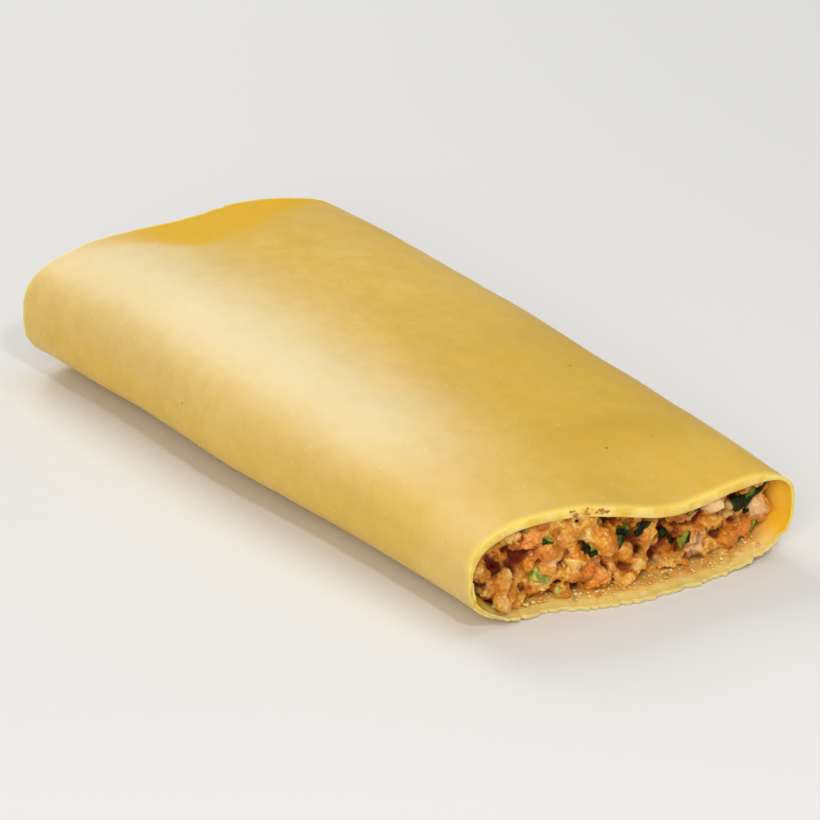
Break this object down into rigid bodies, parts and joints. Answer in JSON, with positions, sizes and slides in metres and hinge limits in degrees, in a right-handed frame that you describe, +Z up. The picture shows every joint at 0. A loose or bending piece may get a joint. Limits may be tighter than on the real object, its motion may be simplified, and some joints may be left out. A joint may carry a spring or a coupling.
{
  "type": "cannelloni",
  "caption": "Cooked pasta sheet rolled round a fine minced filling, pressed flat, open at both cut ends and lapped along its lower side.",
  "frame": {"origin": "middle of the underside, on the surface the roll rests on", "axes": "+X along the roll towards its lower cut mouth, +Y across it away from the lapped side, +Z up"},
  "size_m": [0.1022, 0.0512, 0.0188],
  "materials": {
    "pasta": "cooked egg pasta, smooth and moist, slightly translucent",
    "filling": "fine moist mince with chopped herbs"
  },
  "bodies": {
    "root": {"pasta_sheet": "pasta", "filling": "filling"}
  },
  "joints": []
}
